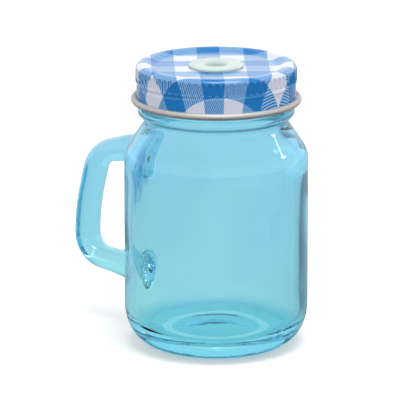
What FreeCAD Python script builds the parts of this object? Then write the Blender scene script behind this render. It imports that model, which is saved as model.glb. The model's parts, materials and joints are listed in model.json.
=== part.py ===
import FreeCAD, Part

import math
import os

# A small drinking jar with an ear handle, closed by a one-piece screw lid with a straw hole.
# Millimetres, +Z up. The origin is on the jar's axis, on the plane it stands on.
# The handle points along -X. Azimuths are counted from +X, counter-clockwise seen from above.

# Glass jar: outside
BODY_R = 28.2
FOOT_R = 16.6
FOOT_INNER_R = 13.6
PUSH_UP = 1.8
HEEL_H = 13.6
HEEL_POWER = 2.2
WALL_TOP_Z = 58.4
SHOULDER_SLOPE = 34.0
SHOULDER_R = 7.8
NECK_FILLET_R = 3.0
NECK_R = 21.95
BEAD_R = 1.6
BEAD_CREST_R = 24.0
BEAD_Z = 73.5
FINISH_R = 22.6
RIM_Z = 86.3

# Glass jar: inside
WALL = 2.45
INNER_RISE = 0.6
INNER_BEND = 1.0
FLOOR_Z = 6.0
FLOOR_CROWN = 0.6
INNER_FLOOR_R = 19.5
MOUTH_R = 19.6
RIM_INNER_ROUND = 1.0
RIM_OUTER_ROUND = 0.8

# Screw thread, six turns to the inch, right-handed
PITCH = 25.4 / 6
GLASS_THREAD_R = 1.2
GLASS_THREAD_FROM = -393.0
GLASS_THREAD_TURN = 350.0
LID_THREAD_FROM = -289.0
LID_THREAD_TURN = 306.0
LID_THREAD_Z = 83.47
THREAD_GAP = 0.12

# Ear handle: the centreline's runs (distance from the axis, height) and the bends between them
EAR_ROUTE = [(23.0, 59.1), (45.6, 53.7), (50.0, 36.5), (51.0, 20.2), (23.0, 17.9)]
EAR_CORNER_R = [9.0, 60.0, 7.5]
EAR_HALF_DEPTH = 3.5
EAR_HALF_WIDTH = 4.6

# Where the arms thicken into the wall: distance along the run, half height, half width
UPPER_ROOT = [(0.0, 6.6, 5.6), (4.5, 5.2, 4.9), (9.0, 4.3, 4.65), (17.0, 3.3, 4.4)]
LOWER_ROOT = [(0.0, 7.6, 5.6), (4.5, 6.1, 4.9), (8.5, 4.6, 4.65), (16.0, 3.3, 4.4)]

# Lid: one tinplate pressing
SHEET = 0.3
SKIRT_R = 24.6
LID_TOP_Z = 88.2
LID_CORNER_R = 2.0
CREST_INNER_R = 22.0
PANEL_R = 18.8
PANEL_Z = 87.0
GROOVE_R = 0.8
GROOVE_PATH_R = 24.5
FLUTES = 72
FLUTE_TOOL_R = 0.8
FLUTE_DEPTH = 0.15
FLUTE_LOW_Z = 82.9
FLUTE_HIGH_Z = 87.1

# Lid: the rolled bottom edge
CURL_PATH_R = 24.95
CURL_R = 1.05
CURL_Z = 77.1
CURL_LIP = 75.0
CURL_OPEN = 40.0

# Sealing liner
LINER_INNER_R = 19.0
LINER_OUTER_R = 22.9
LINER_GAP = 0.05
LINER_TOP_GAP = 0.08
LINER_CHAMFER = 0.3

# Straw grommet
STRAW_HOLE_R = 3.1
STRAW_LEAD_R = 4.5
STRAW_LEAD_Z = 87.0
STRAW_LEAD_DROP = 0.2
FLANGE_FLAT_R = 5.9
GROMMET_GROOVE_R = 7.0
GROMMET_FLANGE_R = 8.4
GROMMET_TOP_Z = 88.1
GROMMET_LIP_R = 7.9
GROMMET_LIP_H = 0.9
GROMMET_LIP_NOSE_R = 5.4
GROMMET_LOW_Z = 83.6


class Outline:
    """A half section in the XZ plane, drawn like a route: straight runs and arcs tangent to them."""

    def __init__(self, r, z, heading=0.0):
        self.r = r
        self.z = z
        self.heading = math.radians(heading)
        self.edges = []

    def line_to(self, r, z):
        """A straight run to a point."""
        self.edges.append(Part.makeLine(section_point(self.r, self.z), section_point(r, z)))
        self.heading = math.atan2(z - self.z, r - self.r)
        self.r = r
        self.z = z

    def forward(self, length):
        """A straight run along the present heading."""
        self.line_to(self.r + length * math.cos(self.heading), self.z + length * math.sin(self.heading))

    def bend(self, radius, degrees):
        """A tangent arc: positive degrees turn left."""
        turn = math.radians(degrees)
        side = math.copysign(1.0, turn)
        centre_r = self.r - side * radius * math.sin(self.heading)
        centre_z = self.z + side * radius * math.cos(self.heading)
        points = []
        for share in (0.0, 0.5, 1.0):
            angle = self.heading + turn * share
            r = centre_r + side * radius * math.sin(angle)
            z = centre_z - side * radius * math.cos(angle)
            points.append((r, z))
        self.edges.append(Part.Arc(*[section_point(r, z) for r, z in points]).toShape())
        self.r, self.z = points[-1]
        self.heading += turn

    def heel(self, wall_r, top_z, power, steps=10):
        """A superellipse quarter, from lying flat here to standing upright at the wall."""
        points = []
        for step in range(steps + 1):
            t = math.radians(90.0) * step / steps
            r = self.r + (wall_r - self.r) * math.sin(t) ** (2.0 / power)
            z = self.z + (top_z - self.z) * (1.0 - math.cos(t) ** (2.0 / power))
            points.append(section_point(r, z))
        curve = Part.BSplineCurve()
        flat, upright = section_point(1, 0), section_point(0, 1)
        curve.interpolate(Points=points, InitialTangent=flat, FinalTangent=upright)
        self.edges.append(curve.toShape())
        self.r = wall_r
        self.z = top_z
        self.heading = math.radians(90.0)

    def shoulder(self, neck_r, wide_bend, neck_bend):
        """Upright wall to upright neck: a bend in, a straight slope, and a bend back."""
        slope = math.radians(SHOULDER_SLOPE)
        inward = self.r - neck_r - (wide_bend + neck_bend) * (1.0 - math.cos(slope))
        self.bend(wide_bend, SHOULDER_SLOPE)
        self.forward(inward / math.sin(slope))
        self.bend(neck_bend, -SHOULDER_SLOPE)

    def spin(self):
        """Close the outline with a straight edge and turn it once about Z into a solid."""
        first = self.edges[0].Vertexes[0].Point
        self.line_to(first.x, first.z)
        face = Part.Face(Part.Wire(self.edges))
        solid = face.revolve(FreeCAD.Vector(0, 0, 0), FreeCAD.Vector(0, 0, 1), 360)
        return Part.Solid(solid) if solid.ShapeType == "Shell" else solid


def section_point(r, z):
    """A point of a half section."""
    return FreeCAD.Vector(r, 0, z)


def thread_point(path_r, zero_z, azimuth):
    """A point on a thread: zero_z is the thread's height at azimuth 0."""
    turn = math.radians(azimuth)
    height = zero_z + PITCH * azimuth / 360.0
    return FreeCAD.Vector(path_r * math.cos(turn), path_r * math.sin(turn), height)


def thread_rod(path_r, rod_r, zero_z, start, turn):
    """A round rod wound along the thread, with ball ends."""
    helix = Part.makeHelix(PITCH, PITCH * turn / 360.0, path_r)
    climb = PITCH / (2.0 * math.pi * path_r)
    circle = Part.makeCircle(rod_r, FreeCAD.Vector(path_r, 0, 0), FreeCAD.Vector(0, 1, climb))
    rod = Part.Wire(helix.Edges).makePipeShell([Part.Wire(circle)], True, True)
    rod.rotate(FreeCAD.Vector(0, 0, 0), FreeCAD.Vector(0, 0, 1), start)
    rod.translate(FreeCAD.Vector(0, 0, zero_z + PITCH * start / 360.0))
    for azimuth in (start, start + turn):
        rod = rod.fuse(Part.makeSphere(rod_r, thread_point(path_r, zero_z, azimuth)))
    return rod


def glass_outside():
    """The jar's outer form, solid to the axis: push-up, foot, heel, wall, shoulder, bead and finish."""
    crown_chord = math.hypot(FOOT_INNER_R, PUSH_UP)
    crown_turn = 2.0 * math.degrees(math.atan2(PUSH_UP, FOOT_INNER_R))
    outline = Outline(0.0, PUSH_UP)
    outline.bend(crown_chord / 2.0 / math.sin(math.radians(crown_turn / 2.0)), -crown_turn)
    outline.line_to(FOOT_R, 0.0)
    outline.heel(BODY_R, HEEL_H, HEEL_POWER)
    outline.line_to(BODY_R, WALL_TOP_Z)
    outline.shoulder(NECK_R, SHOULDER_R, NECK_FILLET_R)
    bead_centre_r = BEAD_CREST_R - BEAD_R
    half_bead = math.sqrt(BEAD_R ** 2 - (FINISH_R - bead_centre_r) ** 2)
    low = BEAD_Z - math.sqrt(BEAD_R ** 2 - (NECK_R - bead_centre_r) ** 2)
    outline.line_to(NECK_R, low)
    crest = section_point(BEAD_CREST_R, BEAD_Z)
    top = (FINISH_R, BEAD_Z + half_bead)
    outline.edges.append(Part.Arc(section_point(NECK_R, low), crest, section_point(*top)).toShape())
    outline.r, outline.z = top
    outline.line_to(FINISH_R, RIM_Z - RIM_OUTER_ROUND)
    outline.bend(RIM_OUTER_ROUND, 90.0)
    outline.line_to(0.0, RIM_Z)
    return outline.spin()


def glass_cavity():
    """The space inside the jar, carried on above the rim, with the rim's inner edge rounded off."""
    outline = Outline(0.0, FLOOR_Z + FLOOR_CROWN)
    outline.line_to(INNER_FLOOR_R, FLOOR_Z)
    outline.heel(BODY_R - WALL, HEEL_H + INNER_RISE, HEEL_POWER)
    outline.line_to(BODY_R - WALL, WALL_TOP_Z - INNER_RISE)
    outline.shoulder(MOUTH_R, SHOULDER_R - WALL + INNER_BEND, NECK_FILLET_R + INNER_BEND)
    outline.line_to(MOUTH_R, RIM_Z - RIM_INNER_ROUND)
    outline.bend(RIM_INNER_ROUND, -90.0)
    outline.line_to(outline.r, RIM_Z + 2.0)
    outline.line_to(0.0, RIM_Z + 2.0)
    return outline.spin()


def thread_lift():
    """How far the glass thread sits above the lid's thread, so that they clear by THREAD_GAP."""
    centres = GLASS_THREAD_R + GROOVE_R + SHEET + THREAD_GAP
    return math.sqrt(centres ** 2 - (GROOVE_PATH_R - FINISH_R) ** 2)


def jar_body():
    """The blown glass bowl with its neck and outside thread."""
    thread = thread_rod(
        FINISH_R, GLASS_THREAD_R, LID_THREAD_Z + thread_lift(), GLASS_THREAD_FROM, GLASS_THREAD_TURN
    )
    return glass_outside().fuse(thread).cut(glass_cavity())


def ear_point(point):
    """A point of the handle's plane, given as distance from the axis and height."""
    return FreeCAD.Vector(-point[0], 0, point[1])


def ear_centreline():
    """Three straight runs joined by tangent arcs."""
    points = [ear_point(point) for point in EAR_ROUTE]
    edges = []
    start = points[0]
    for before, corner, after, radius in zip(points, points[1:], points[2:], EAR_CORNER_R):
        way_in = (corner - before).normalize()
        way_out = (after - corner).normalize()
        turn = way_in.getAngle(way_out)
        reach = radius * math.tan(turn / 2.0)
        middle = (way_out - way_in).normalize() * (radius / math.cos(turn / 2.0) - radius)
        edges.append(Part.makeLine(start, corner - way_in * reach))
        start = corner + way_out * reach
        edges.append(Part.Arc(corner - way_in * reach, corner + middle, start).toShape())
    edges.append(Part.makeLine(start, points[-1]))
    return Part.Wire(edges)


def ear_section(centre, direction, half_depth, half_width):
    """An elliptical section across the handle: half_width lies along Y, half_depth in the handle's plane."""
    across = Part.Ellipse(FreeCAD.Vector(0, 0, 0), max(half_width, half_depth), min(half_width, half_depth))
    wire = Part.Wire(across.toShape())
    side = FreeCAD.Vector(0, 1, 0)
    if half_width >= half_depth:
        turn = FreeCAD.Rotation(side, FreeCAD.Vector(), direction, "ZXY")
    else:
        turn = FreeCAD.Rotation(FreeCAD.Vector(), side, direction, "ZYX")
    wire.Placement = FreeCAD.Placement(centre, turn)
    return wire


def ear_root(start, towards, stations):
    """The flare where an arm of the handle grows out of the wall."""
    direction = (towards - start).normalize()
    wires = [ear_section(start + direction * along, direction, high, wide) for along, high, wide in stations]
    return Part.makeLoft(wires, True)


def ear_handle():
    """The pressed glass ear: a bent oval rod, flared at both roots, cut off where the jar's wall begins."""
    points = [ear_point(point) for point in EAR_ROUTE]
    direction = (points[1] - points[0]).normalize()
    section = ear_section(points[0], direction, EAR_HALF_DEPTH, EAR_HALF_WIDTH)
    rod = ear_centreline().makePipeShell([section], True, False)
    upper = ear_root(points[0], points[1], UPPER_ROOT)
    lower = ear_root(points[-1], points[-2], LOWER_ROOT)
    return rod.fuse([upper, lower]).cut(glass_outside())


def flute_tools():
    """Upright round-ended rods that press the knurl's flutes into the skirt."""
    axis_r = SKIRT_R + FLUTE_TOOL_R - FLUTE_DEPTH
    low = FLUTE_LOW_Z + FLUTE_DEPTH
    high = FLUTE_HIGH_Z - FLUTE_TOOL_R
    rod = Part.makeCylinder(FLUTE_TOOL_R, high - low, section_point(axis_r, low))
    rod = rod.fuse(Part.makeSphere(FLUTE_TOOL_R, section_point(axis_r, high)))
    tools = []
    for number in range(FLUTES):
        tool = rod.copy()
        tool.rotate(FreeCAD.Vector(0, 0, 0), FreeCAD.Vector(0, 0, 1), 360.0 * number / FLUTES)
        tools.append(tool)
    return Part.makeCompound(tools)


def lid_pressing():
    """The lid's plain section: skirt, top corner, raised ring, sunk panel and the hole for the grommet."""
    outline = Outline(SKIRT_R, CURL_Z, 90.0)
    outline.line_to(SKIRT_R, LID_TOP_Z - LID_CORNER_R)
    outline.bend(LID_CORNER_R, 90.0)
    outline.line_to(CREST_INNER_R, LID_TOP_Z)
    outline.line_to(PANEL_R, PANEL_Z)
    outline.line_to(GROMMET_GROOVE_R, PANEL_Z)
    outline.line_to(GROMMET_GROOVE_R, PANEL_Z - SHEET)
    outline.line_to(PANEL_R + SHEET / 2.0, PANEL_Z - SHEET)
    outline.line_to(CREST_INNER_R + SHEET / 2.0, LID_TOP_Z - SHEET)
    outline.line_to(SKIRT_R - LID_CORNER_R, LID_TOP_Z - SHEET)
    outline.bend(LID_CORNER_R - SHEET, -90.0)
    outline.line_to(SKIRT_R - SHEET, CURL_Z)
    return outline.spin()


def lid_thread_rod(rod_r):
    """The lid's thread as a rod: its groove outside, or with the sheet's thickness added, its rib inside."""
    return thread_rod(GROOVE_PATH_R, rod_r, LID_THREAD_Z, LID_THREAD_FROM, LID_THREAD_TURN)


def lid_shell():
    """The pressed lid with its knurl and rolled thread, ending where the curled edge begins."""
    within = Part.makeCylinder(SKIRT_R, LID_TOP_Z)
    rib = lid_thread_rod(GROOVE_R + SHEET).common(within)
    shell = lid_pressing().cut(flute_tools())
    return shell.fuse(rib).cut(lid_thread_rod(GROOVE_R)).cut(curl_ring())


def curl_ring():
    """A solid ring of the curl's outer form."""
    return Part.makeTorus(CURL_PATH_R, CURL_R, section_point(0, CURL_Z))


def lid_curl():
    """The lid's edge, rolled outwards into a hollow curl whose lip stops just short of the skirt."""
    outer = curl_ring()
    hollow = Part.makeTorus(CURL_PATH_R, CURL_R - SHEET, section_point(0, CURL_Z))
    slot_outline = Outline(CURL_PATH_R, CURL_Z)
    far = 2.0 * CURL_R
    for degrees in (CURL_LIP, CURL_LIP - CURL_OPEN):
        turn = math.radians(degrees)
        slot_outline.line_to(CURL_PATH_R + far * math.cos(turn), CURL_Z + far * math.sin(turn))
    return outer.cut(hollow).cut(slot_outline.spin())


def sealing_liner():
    """The soft ring that sits in the lid's raised channel and lands on the glass rim."""
    floor = RIM_Z + LINER_GAP
    top = LID_TOP_Z - SHEET - LINER_TOP_GAP
    inset = SHEET / 2.0 + LINER_TOP_GAP
    outline = Outline(LINER_INNER_R, floor)
    outline.line_to(LINER_OUTER_R, floor)
    outline.line_to(LINER_OUTER_R, top - LINER_CHAMFER)
    outline.line_to(LINER_OUTER_R - LINER_CHAMFER, top)
    outline.line_to(CREST_INNER_R + inset, top)
    outline.line_to(PANEL_R + inset, PANEL_Z - SHEET - LINER_TOP_GAP)
    outline.line_to(LINER_INNER_R, PANEL_Z - SHEET - LINER_TOP_GAP)
    return outline.spin()


def straw_grommet():
    """A soft grommet: top flange, groove that grips the panel, tapered lip below, and the straw's hole."""
    outline = Outline(STRAW_HOLE_R, GROMMET_LOW_Z)
    outline.line_to(GROMMET_LIP_NOSE_R, GROMMET_LOW_Z)
    outline.line_to(GROMMET_LIP_R, PANEL_Z - SHEET - GROMMET_LIP_H)
    outline.line_to(GROMMET_LIP_R, PANEL_Z - SHEET)
    outline.line_to(GROMMET_GROOVE_R, PANEL_Z - SHEET)
    outline.line_to(GROMMET_GROOVE_R, PANEL_Z)
    outline.line_to(GROMMET_FLANGE_R, PANEL_Z)
    outline.heading = math.radians(90.0)
    edge = (GROMMET_TOP_Z - PANEL_Z) / 2.0
    outline.bend(edge, 90.0)
    outline.line_to(FLANGE_FLAT_R, GROMMET_TOP_Z)
    outline.line_to(STRAW_LEAD_R, GROMMET_TOP_Z - STRAW_LEAD_DROP)
    outline.line_to(STRAW_HOLE_R, STRAW_LEAD_Z)
    return outline.spin()


def main():
    os.makedirs("parts", exist_ok=True)
    nodes = {
        "jar_body": jar_body,
        "ear_handle": ear_handle,
        "lid_shell": lid_shell,
        "lid_curl": lid_curl,
        "sealing_liner": sealing_liner,
        "straw_grommet": straw_grommet,
    }
    for name, make in nodes.items():
        shape = make()
        shape.exportStep("parts/" + name + ".step")
        size = shape.optimalBoundingBox()
        bounds = [size.XMin, size.XMax, size.YMin, size.YMax, size.ZMin, size.ZMax]
        print(name, len(shape.Solids), "solid", shape.isValid(), round(shape.Volume / 1000.0, 3), "ml",
              [round(value, 2) for value in bounds])


main()
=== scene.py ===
# %% [markdown]
# # A small drinking jar with an ear handle and a straw lid
#
# The jar is one piece of blue-tinted glass: a blown bowl with a pressed ear handle melted into its wall.
# Its lid is a tinplate pressing with a printed check, a fluted grip, a rolled screw thread and a bottom
# edge that is curled outwards and left bare. A soft liner seals it and a soft grommet holds the straw.
#
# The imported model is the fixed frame: it says where every piece is and how large. Each cell below works
# out one piece or one finish as whole numpy arrays and prints what it made.

# %% Load the frame
import json
import math

import bmesh
import bpy
import numpy as np
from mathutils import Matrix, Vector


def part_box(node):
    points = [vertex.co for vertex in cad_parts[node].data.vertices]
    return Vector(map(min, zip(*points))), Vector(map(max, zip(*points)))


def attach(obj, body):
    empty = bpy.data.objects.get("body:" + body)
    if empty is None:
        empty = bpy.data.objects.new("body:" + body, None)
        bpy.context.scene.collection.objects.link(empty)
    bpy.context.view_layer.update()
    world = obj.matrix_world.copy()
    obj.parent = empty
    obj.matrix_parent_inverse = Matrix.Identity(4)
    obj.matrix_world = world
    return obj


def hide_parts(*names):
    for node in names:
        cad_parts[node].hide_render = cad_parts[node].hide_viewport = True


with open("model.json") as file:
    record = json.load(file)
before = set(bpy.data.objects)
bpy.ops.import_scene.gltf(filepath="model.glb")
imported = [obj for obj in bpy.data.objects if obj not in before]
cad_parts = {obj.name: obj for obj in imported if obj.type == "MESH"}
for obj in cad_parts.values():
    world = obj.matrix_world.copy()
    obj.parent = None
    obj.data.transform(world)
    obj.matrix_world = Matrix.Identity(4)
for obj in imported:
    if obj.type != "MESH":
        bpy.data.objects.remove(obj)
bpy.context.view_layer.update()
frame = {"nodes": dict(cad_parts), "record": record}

TAU = 2.0 * math.pi

# %% [markdown]
# ## Sizes
#
# A lathe-turned piece is known by a few radii and heights, so the main ones are read from the boxes of
# the frame's nodes, and the thread's pitch comes from the ratio that couples the lid's rise to its turn.
# The finer ones stand in each piece's own cell. Shapes are worked out in millimetres and become metres
# when a mesh is made.

# %% Read the driving sizes
MM = 1000.0


def box_mm(node):
    """The lowest and highest corners of a node's box, in millimetres."""
    low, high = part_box(node)
    return np.array(low) * MM, np.array(high) * MM


jar_high = box_mm("jar_body")[1]
lid_high = box_mm("lid_shell")[1]
curl_low, curl_high = box_mm("lid_curl")
grommet_low, grommet_high = box_mm("straw_grommet")

BODY_R = jar_high[0]
RIM_Z = jar_high[2]
SKIRT_R = lid_high[0]
LID_TOP_Z = lid_high[2]
CURL_R = (curl_high[2] - curl_low[2]) / 2.0
CURL_Z = (curl_high[2] + curl_low[2]) / 2.0
CURL_PATH_R = curl_high[0] - CURL_R
mounts = {mount["name"]: mount for mount in frame["record"]["mounts"]}
STRAW_HOLE_R = mounts["straw_hole"]["dims"]["r_mm"]
PITCH = frame["record"]["behaviour"]["couplings"][0]["ratio"] * TAU * MM
print(f"jar {2 * BODY_R:.1f} mm across, {RIM_Z:.1f} mm to the rim")
print(f"lid skirt {2 * SKIRT_R:.1f} mm across, thread pitch {PITCH:.3f} mm")

# %% [markdown]
# ## From arrays to a mesh
#
# A lathe form or a bent tube is a grid: one index runs along the profile and the other runs round. The
# faces of such a grid follow from the two counts alone, so they are worked out once here. Faces are
# turned outwards by Blender at the end, which saves keeping track of the winding in every piece.

# %% Mesh helpers
def grid_quads(rows, columns, close_rows=False):
    """Corner numbers of a grid's faces: vertex = row * columns + column, and the columns wrap round."""
    row = np.arange(rows if close_rows else rows - 1)[:, None]
    column = np.arange(columns)[None, :]
    next_row = (row + 1) % rows
    next_column = (column + 1) % columns
    corners = [row * columns + column, row * columns + next_column,
               next_row * columns + next_column, next_row * columns + column]
    return np.stack(np.broadcast_arrays(*corners), axis=-1)


def make_piece(name, points_mm, faces, materials, face_material=None, vectors=None):
    """A smooth mesh object from millimetre points and lists of corners, with its faces turned outwards."""
    mesh = bpy.data.meshes.new(name)
    mesh.from_pydata((points_mm / MM).tolist(), [], faces)
    for material in materials:
        mesh.materials.append(material)
    if face_material is not None:
        mesh.polygons.foreach_set("material_index", face_material)
    for label, values in (vectors or {}).items():
        attribute = mesh.attributes.new(label, "FLOAT_VECTOR", "POINT")
        attribute.data.foreach_set("vector", values.astype(np.float32).ravel())
    work = bmesh.new()
    work.from_mesh(mesh)
    bmesh.ops.recalc_face_normals(work, faces=work.faces)
    work.to_mesh(mesh)
    work.free()
    mesh.shade_smooth()
    piece = bpy.data.objects.new(name, mesh)
    bpy.context.scene.collection.objects.link(piece)
    print(f"{name}: {len(mesh.vertices)} points, {sum(len(face) - 2 for face in faces)} triangles")
    return piece


def turned_points(radius, height, theta):
    """Points (r cos a, r sin a, z) of a lathe form: rows of radius and height, columns of angle a."""
    radius, height = np.broadcast_arrays(radius, height)
    return np.stack([radius * np.cos(theta), radius * np.sin(theta), height + 0.0 * theta], axis=-1)


# %% [markdown]
# ## Drawing a profile
#
# Glass moulds and press tools are turned on a lathe, so their sections are straight runs and arcs. Each
# helper returns points spaced evenly along one such stretch. Stretches are joined end to end; the sample
# count of each sets how fine the mesh is there.

# %% Profile helpers
def run(start, end, steps):
    """Evenly spaced points from start to end: start + t (end - start)."""
    t = np.linspace(0.0, 1.0, steps + 1)[:, None]
    return np.array(start) + t * (np.array(end) - np.array(start))


def arc(centre, radius, start_deg, end_deg, steps):
    """Points of a circular arc: centre + radius (cos a, sin a), with a running evenly."""
    a = np.radians(np.linspace(start_deg, end_deg, steps + 1))
    return np.array(centre) + radius * np.stack([np.cos(a), np.sin(a)], axis=-1)


def heel(foot, wall, power, steps):
    """A superellipse quarter, flat at foot, upright at wall: r by sin t and z by 1 - cos t, to 2/power."""
    t = np.linspace(0.0, 0.5 * math.pi, steps + 1)
    r = foot[0] + (wall[0] - foot[0]) * np.sin(t) ** (2.0 / power)
    z = foot[1] + (wall[1] - foot[1]) * (1.0 - np.abs(np.cos(t)) ** (2.0 / power))
    return np.stack([r, z], axis=-1)


def shoulder(wall, neck_r, wide_r, neck_bend_r, slope_deg, steps):
    """From upright wall to upright neck: an arc by the slope's angle, a straight slope and an arc back."""
    slope = math.radians(slope_deg)
    drop = 1.0 - math.cos(slope)
    straight = (wall[0] - neck_r - (wide_r + neck_bend_r) * drop) / math.sin(slope)
    bend_in = arc((wall[0] - wide_r, wall[1]), wide_r, 0.0, slope_deg, steps[0])
    end = bend_in[-1] + straight * np.array([-math.sin(slope), math.cos(slope)])
    bend_back = arc((neck_r + neck_bend_r, end[1] + neck_bend_r * math.sin(slope)), neck_bend_r,
                    180.0 + slope_deg, 180.0, steps[2])
    return join(bend_in, run(bend_in[-1], end, steps[1]), bend_back)


def join(*stretches):
    """One profile from stretches that share their end points."""
    return np.concatenate([stretches[0]] + [stretch[1:] for stretch in stretches[1:]])


def lengths(points):
    """Distance along a line of points, from its first one."""
    steps = np.linalg.norm(np.diff(points, axis=0), axis=-1)
    return np.concatenate([[0.0], np.cumsum(steps)])


def at_lengths(points, s, wanted):
    """Points at wanted distances along a line, found by interpolation on its lengths s."""
    return np.stack([np.interp(wanted, s, points[:, axis]) for axis in (0, 1)], axis=-1)


def even(points, step):
    """The same line with its points at even distances."""
    s = lengths(points)
    return at_lengths(points, s, np.arange(0.0, s[-1], step))


def softened(points, window):
    """A running average, which eases the change from straight to curved."""
    kernel = np.ones(window) / window
    return np.stack([np.convolve(points[:, axis], kernel, "valid") for axis in (0, 1)], axis=-1)


FINE_STEP = 0.05


def eased(points, steps, window_mm):
    """A softened line in a fixed number of even steps, half a window shorter at both ends."""
    line = softened(even(points, FINE_STEP), int(window_mm / FINE_STEP))
    s = lengths(line)
    return at_lengths(line, s, np.linspace(0.0, s[-1], steps + 1))


def smooth(x):
    """0 below 0, 1 above 1, and 3x^2 - 2x^3 between."""
    x = np.clip(x, 0.0, 1.0)
    return x * x * (3.0 - 2.0 * x)


# %% [markdown]
# ## Shader sums in plain Python
#
# A node tree for a pattern is mostly arithmetic. `Value` wraps a socket so that `a * 2 + b` adds the Math
# nodes itself, and `Finish.node` makes any other node from its type, its settings and its inputs.

# %% Shader helpers
class Value:
    """A number that varies over the surface: arithmetic on it adds Math nodes."""

    def __init__(self, tree, socket):
        self.tree = tree
        self.socket = socket

    def math(self, operation, *others):
        inputs = dict(enumerate((self,) + others))
        return self.tree.node("ShaderNodeMath", {"operation": operation}, inputs)

    def reflected(self, operation, other):
        return self.tree.node("ShaderNodeMath", {"operation": operation}, {0: other, 1: self})

    def __add__(self, other):
        return self.math("ADD", other)

    def __sub__(self, other):
        return self.math("SUBTRACT", other)

    def __mul__(self, other):
        return self.math("MULTIPLY", other)

    def __rsub__(self, other):
        return self.reflected("SUBTRACT", other)

    __radd__ = __add__
    __rmul__ = __mul__

    def clamp(self):
        return self.tree.node("ShaderNodeClamp", {}, {"Value": self})

    def step(self, low, high):
        """0 at low, 1 at high, eased between."""
        settings = {"interpolation_type": "SMOOTHSTEP"}
        inputs = {"Value": self, "From Min": low, "From Max": high}
        return self.tree.node("ShaderNodeMapRange", settings, inputs)


class Tree:
    """A node tree and the few ways in which nodes are added to it."""

    def __init__(self, node_tree):
        self.nodes = node_tree.nodes
        self.links = node_tree.links

    def set(self, node, socket, value):
        """Give a socket a constant, or link it to a value."""
        target = node.inputs[socket]
        if isinstance(value, Value):
            self.links.new(value.socket, target)
        else:
            target.default_value = value

    def node(self, kind, settings=None, inputs=None, output=0):
        """A node of a kind: its settings, then its sockets; the value is one of its outputs."""
        made = self.nodes.new(kind)
        for name, value in (settings or {}).items():
            setattr(made, name, value)
        for socket, value in (inputs or {}).items():
            self.set(made, socket, value)
        return Value(self, made.outputs[output])

    def mix(self, share, first, second):
        """Colour from first to second by share."""
        return self.node("ShaderNodeMix", {"data_type": "RGBA"}, {0: share, 6: first, 7: second}, output=2)

    def blend(self, share, first, second):
        """Number from first to second by share."""
        return self.node("ShaderNodeMix", {"data_type": "FLOAT"}, {0: share, 2: first, 3: second})

    def part(self, vector, axis):
        """One component of a vector."""
        return self.node("ShaderNodeSeparateXYZ", {}, {0: vector}, output=axis)

    def place(self):
        """The piece's own coordinates, in metres."""
        return self.node("ShaderNodeTexCoord", output="Object")

    def noise(self, scale, detail=2.0, stretch=(1.0, 1.0, 1.0)):
        """Noise on the piece's own coordinates; scale is in waves to the metre."""
        place = self.node("ShaderNodeMapping", {}, {"Vector": self.place(), "Scale": stretch})
        return self.node("ShaderNodeTexNoise", {}, {"Vector": place, "Scale": scale, "Detail": detail})


class Finish(Tree):
    """One material, made on the shader that a new material comes with."""

    def __init__(self, name, **principled):
        self.material = bpy.data.materials.new(name)
        self.material.use_nodes = True
        super().__init__(self.material.node_tree)
        self.shader = self.nodes["Principled BSDF"]
        for socket, value in principled.items():
            self.set(self.shader, socket.replace("_", " "), value)

    def feed(self, socket, value):
        """Let a value drive one of the shader's own sockets."""
        self.set(self.shader, socket, value)

    def bump(self, height, distance_mm):
        """Roughen the normals by a height that goes from 0 to 1 over distance_mm."""
        inputs = {"Height": height, "Distance": distance_mm / MM, "Strength": 1.0}
        self.feed("Normal", self.node("ShaderNodeBump", {}, inputs))


# %% [markdown]
# ## Glass
#
# The glass itself is nearly clear. Its blue is a thin transparent lacquer on the outside, so a solid
# handle looks no darker than the hollow bowl. A tint on the outer surface does that, where a tint in the
# volume would make the handle and the thick foot too dark. The lacquer is a little uneven, as a sprayed
# coat is, and bluer towards the shoulder. Where light runs a long way inside the glass the colour looks
# deeper: beside the handle's roots and in the corner and middle of the floor. That deeper blue is painted
# shade, kept on each point of the mesh as a number. The wall has the faint ripple of blown glass, and the
# foot is wavier.

# %% Glass finishes
TINT_TOP_MM = 75.0
CLOUD_SHARE = 1.6
BLOWN_SCALE = 90.0
WAVE_SCALE = 150.0
WAVE_MM = 0.14
TINT_LOW = (0.31, 0.71, 0.78, 1.0)
TINT_HIGH = (0.255, 0.635, 0.865, 1.0)
# The deep colour of each glass is painted shade, for the darker blue beside the handle's roots and on the
# floor.
TINT_SHADE = (0.06, 0.36, 0.70, 1.0)
CLEAR_LOW = (0.95, 1.0, 0.97, 1.0)
CLEAR_HIGH = (0.97, 1.0, 1.0, 1.0)
CLEAR_SHADE = (0.34, 0.64, 0.88, 1.0)


def streaked_shade(finish):
    """Depth of the painted shade, 0 to 1: the mesh's own number for it, broken into upright streaks by
    noise.
    """
    painted_shade = finish.node("ShaderNodeAttribute", {"attribute_name": "painted_shade"}, {}, output=2)
    streak = finish.noise(420.0, 3.0, (1.0, 1.0, 0.25))
    return (painted_shade * (streak * 1.6 + 0.2)).step(0.1, 0.95)


def glass(name, low, high, deep, ripple_mm, wave_top_mm):
    """Clear glass, tinted from low at the foot to high at the shoulder, with deep painted in as shade by the
    roots and on the floor.
    """
    finish = Finish(name, Roughness=0.0, IOR=1.5, Transmission_Weight=1.0)
    cloud = finish.noise(38.0, 2.0, (1.0, 1.0, 0.6))
    height = finish.part(finish.place(), 2)
    share = (height * (MM / TINT_TOP_MM) + (cloud - 0.5) * CLOUD_SHARE).clamp()
    # Painted shade: the deep colour is mixed in where the mesh's number is high, beside the handle's roots
    # and on the floor.
    finish.feed("Base Color", finish.mix(streaked_shade(finish), finish.mix(share, low, high), deep))
    low_share = height.step(wave_top_mm / MM, 0.4 * wave_top_mm / MM)
    waves = finish.noise(WAVE_SCALE, 2.0) * low_share * (WAVE_MM / ripple_mm)
    finish.bump(finish.noise(BLOWN_SCALE, 1.0, (1.0, 1.0, 0.5)) + waves, ripple_mm)
    return finish.material


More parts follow.
